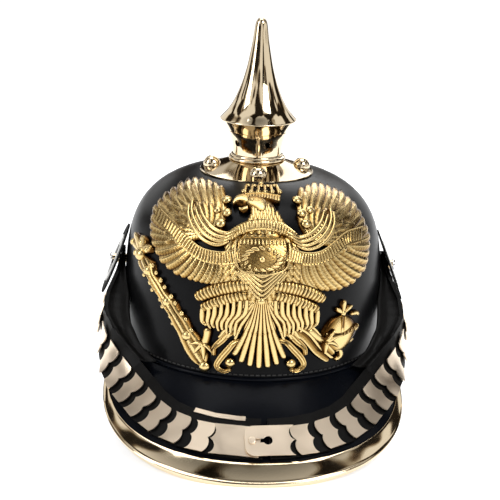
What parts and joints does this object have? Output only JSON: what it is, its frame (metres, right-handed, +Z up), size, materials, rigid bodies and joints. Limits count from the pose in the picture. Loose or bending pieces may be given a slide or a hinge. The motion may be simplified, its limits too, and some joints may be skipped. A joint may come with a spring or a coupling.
{
  "type": "spiked leather helmet",
  "caption": "Spiked leather helmet with an eagle front plate, two peaks, side cockades and metal chin scales hooked over the front peak.",
  "frame": {"origin": "on the surface the helmet stands on, below the middle of its length and width", "axes": "+Z up along the spike, -Y to the front, where the eagle is; the wearer's left is +X"},
  "size_m": [0.2263, 0.3318, 0.2905],
  "materials": {
    "shell_leather": "glossy black lacquer",
    "strap_leather": "satin black",
    "lining_leather": "matt tan",
    "polished_brass": "mirror polished, pale",
    "gilt_brass": "stamped and gilt",
    "steel": "bright",
    "cockade_black": "gloss black paint",
    "cockade_white": "white paint"
  },
  "bodies": {
    "helmet": {"skull_shell": "shell_leather", "front_peak": "shell_leather", "rear_peak": "shell_leather", "front_trim": "polished_brass", "rear_spine": "polished_brass", "spine_studs": "polished_brass", "base_plate": "polished_brass", "base_studs": "polished_brass", "base_stud_nuts": "steel", "spike_neck": "polished_brass", "neck_ring": "polished_brass", "neck_bridge": "polished_brass", "eagle_plate": "gilt_brass", "plate_posts": "gilt_brass", "plate_nuts": "steel", "left_boss_bush": "polished_brass", "left_boss_screw": "steel", "left_boss_nut": "steel", "right_boss_bush": "polished_brass", "right_boss_screw": "steel", "right_boss_nut": "steel", "sweatband": "lining_leather", "liner": "lining_leather"},
    "spike_body": {"spike": "polished_brass", "spike_stem": "polished_brass"},
    "left_chin_scales": {"left_strap": "strap_leather", "left_scale_01": "polished_brass", "left_scale_02": "polished_brass", "left_scale_03": "polished_brass", "left_scale_04": "polished_brass", "left_scale_05": "polished_brass", "left_scale_06": "polished_brass", "left_scale_07": "polished_brass", "left_scale_08": "polished_brass", "left_scale_09": "polished_brass", "left_scale_10": "polished_brass", "left_end_plate": "polished_brass", "left_cockade": "cockade_black", "left_cockade_ring": "cockade_white"},
    "right_chin_scales": {"right_strap": "strap_leather", "right_scale_01": "polished_brass", "right_scale_02": "polished_brass", "right_scale_03": "polished_brass", "right_scale_04": "polished_brass", "right_scale_05": "polished_brass", "right_scale_06": "polished_brass", "right_scale_07": "polished_brass", "right_scale_08": "polished_brass", "right_scale_09": "polished_brass", "right_scale_10": "polished_brass", "right_end_plate": "polished_brass", "strap_button": "polished_brass", "right_edge_clip": "polished_brass", "right_cockade": "cockade_black", "right_cockade_ring": "cockade_white"}
  },
  "joints": [
    {"name": "spike_slide", "type": "slide", "parent": "helmet", "child": "spike_body", "axis": [0, 0, 1], "range_m": [0, 0.06]},
    {"name": "left_scales_hinge", "type": "hinge", "parent": "helmet", "child": "left_chin_scales", "pos_m": [0, 0.01183, 0.10667], "axis": [-1, 0, 0], "range_deg": [0, 45]},
    {"name": "right_scales_hinge", "type": "hinge", "parent": "helmet", "child": "right_chin_scales", "pos_m": [0, 0.01183, 0.10667], "axis": [-1, 0, 0], "range_deg": [0, 45]}
  ],
  "couplings": [
    {"joint": "right_scales_hinge", "follows": "left_scales_hinge", "ratio": 1}
  ]
}
